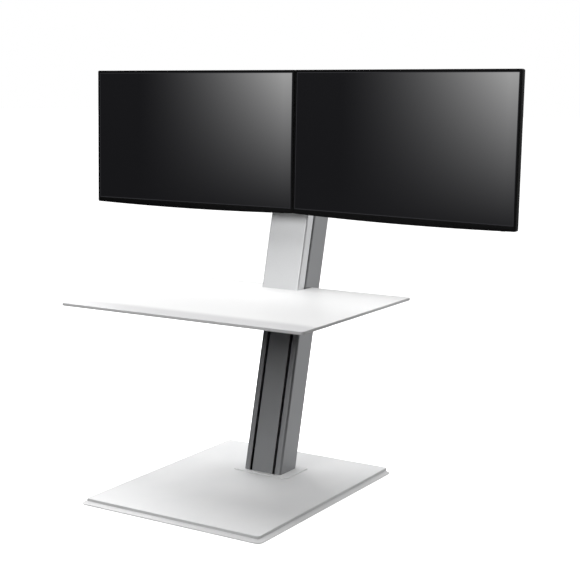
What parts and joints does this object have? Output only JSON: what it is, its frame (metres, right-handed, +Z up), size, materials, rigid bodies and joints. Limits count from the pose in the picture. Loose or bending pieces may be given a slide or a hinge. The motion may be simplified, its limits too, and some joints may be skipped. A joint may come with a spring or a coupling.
{
  "type": "standing desk converter",
  "caption": "Free-standing sit-stand desk converter: weighted base, leaning column, sliding mast with work surface and crossbar holding turning, tilting screens.",
  "frame": {"origin": "middle of the base's footprint, on the plane of the desk it stands on", "axes": "+X to the user's right, +Y away from the user, +Z up; the user stands on the -Y side"},
  "size_m": [1.2899, 0.6787, 1.0523],
  "materials": {
    "coated_white": "white textured powder coat",
    "white_plastic": "moulded, fine matt texture",
    "board_white": "white laminate, matt",
    "anodised_grey": "extruded, fine brushed, grey anodised",
    "anodised_silver": "extruded, satin silver anodised",
    "cast_silver": "die cast, painted silver",
    "steel_black": "black powder coat",
    "zinc_steel": "zinc-plated fasteners and pins",
    "spring_steel": "rolled spring strip",
    "rubber_black": "moulded rubber",
    "acetal_black": "machined acetal",
    "bezel_black": "moulded black, satin",
    "shell_black": "moulded black, fine texture",
    "panel_black": "dark glossy display panel"
  },
  "bodies": {
    "base": {"nonslip_mat": "rubber_black", "base_plate": "coated_white", "base_cover": "white_plastic", "foot_collar": "white_plastic", "foot_bracket": "steel_black", "foot_bolts": "zinc_steel", "column_screws": "zinc_steel", "column_channel": "anodised_grey", "column_strip": "anodised_grey", "column_cap": "acetal_black", "spring_anchor": "steel_black", "travel_bumpers": "rubber_black", "cable_cover": "anodised_grey"},
    "lift": {"carriage": "steel_black", "glide_pads": "acetal_black", "spool_axle": "zinc_steel", "spring_strips": "spring_steel", "lift_arms": "steel_black", "arm_screws": "zinc_steel", "mast_tube": "anodised_silver", "mast_foot": "cast_silver", "mast_head": "cast_silver", "pan_spindle": "zinc_steel", "platform_board": "board_white", "notch_trim": "white_plastic", "platform_bracket": "steel_black", "platform_screws": "zinc_steel", "mast_bolts": "zinc_steel"},
    "spool_left": {"spool_left": "acetal_black", "spring_coil_left": "spring_steel"},
    "spool_right": {"spool_right": "acetal_black", "spring_coil_right": "spring_steel"},
    "crossbar": {"crossbar": "anodised_silver", "bar_caps": "acetal_black", "crossbar_hub": "cast_silver", "hub_screws": "zinc_steel"},
    "slider_left": {"head_slider_left": "cast_silver", "slider_screws_left": "zinc_steel"},
    "arm_left": {"head_arm_left": "cast_silver", "pan_bolt_left": "zinc_steel"},
    "screen_left": {"vesa_plate_left": "steel_black", "tilt_pin_left": "zinc_steel", "vesa_screws_left": "zinc_steel", "screen_bezel_left": "bezel_black", "screen_panel_left": "panel_black", "rear_shell_left": "shell_black", "socket_block_left": "acetal_black"},
    "button_left": {"power_button_left": "bezel_black"},
    "slider_right": {"head_slider_right": "cast_silver", "slider_screws_right": "zinc_steel"},
    "arm_right": {"head_arm_right": "cast_silver", "pan_bolt_right": "zinc_steel"},
    "screen_right": {"vesa_plate_right": "steel_black", "tilt_pin_right": "zinc_steel", "vesa_screws_right": "zinc_steel", "screen_bezel_right": "bezel_black", "screen_panel_right": "panel_black", "rear_shell_right": "shell_black", "socket_block_right": "acetal_black"},
    "button_right": {"power_button_right": "bezel_black"}
  },
  "joints": [
    {"name": "height_slide", "type": "slide", "parent": "base", "child": "lift", "axis": [0, 0.2473, 0.9689], "range_m": [-0.455, 0], "deforming": ["spring_strips"]},
    {"name": "spool_spin_left", "type": "hinge", "parent": "lift", "child": "spool_left", "pos_m": [-0.02, 0.30159, 0.64774], "axis": [1, 0, 0], "range_deg": [-1420, 1420]},
    {"name": "spool_spin_right", "type": "hinge", "parent": "lift", "child": "spool_right", "pos_m": [0.02, 0.30159, 0.64774], "axis": [1, 0, 0], "range_deg": [-1420, 1420]},
    {"name": "crossbar_pan", "type": "hinge", "parent": "lift", "child": "crossbar", "pos_m": [0, 0.305, 0.944], "axis": [0, 0, 1], "range_deg": [-6.5, 13.5]},
    {"name": "head_slide_left", "type": "slide", "parent": "crossbar", "child": "slider_left", "axis": [0.9982, -0.0603, 0], "range_m": [-0.1, 0]},
    {"name": "head_pan_left", "type": "hinge", "parent": "slider_left", "child": "arm_left", "pos_m": [-0.28358, 0.24698, 0.95], "axis": [0, 0, 1], "range_deg": [-12, 0]},
    {"name": "head_tilt_left", "type": "hinge", "parent": "arm_left", "child": "screen_left", "pos_m": [-0.28358, 0.23573, 0.8693], "axis": [1, 0, 0], "range_deg": [-10, 4]},
    {"name": "power_press_left", "type": "slide", "parent": "screen_left", "child": "button_left", "axis": [0, 0.0312, 0.9995], "range_m": [0, 0.0008], "stiffness_N_per_m": 600},
    {"name": "head_slide_right", "type": "slide", "parent": "crossbar", "child": "slider_right", "axis": [0.9982, -0.0603, 0], "range_m": [0, 0.024]},
    {"name": "head_pan_right", "type": "hinge", "parent": "slider_right", "child": "arm_right", "pos_m": [0.36837, 0.20762, 0.95], "axis": [0, 0, 1], "range_deg": [0, 12]},
    {"name": "head_tilt_right", "type": "hinge", "parent": "arm_right", "child": "screen_right", "pos_m": [0.36701, 0.19645, 0.8693], "axis": [0.9927, -0.1203, 0], "range_deg": [-10, 4]},
    {"name": "power_press_right", "type": "slide", "parent": "screen_right", "child": "button_right", "axis": [0.0038, 0.031, 0.9995], "range_m": [0, 0.0008], "stiffness_N_per_m": 600}
  ],
  "couplings": [
    {"joint": "spool_spin_left", "follows": "height_slide", "rad_per_m": 54.054},
    {"joint": "spool_spin_right", "follows": "height_slide", "rad_per_m": 54.054}
  ]
}
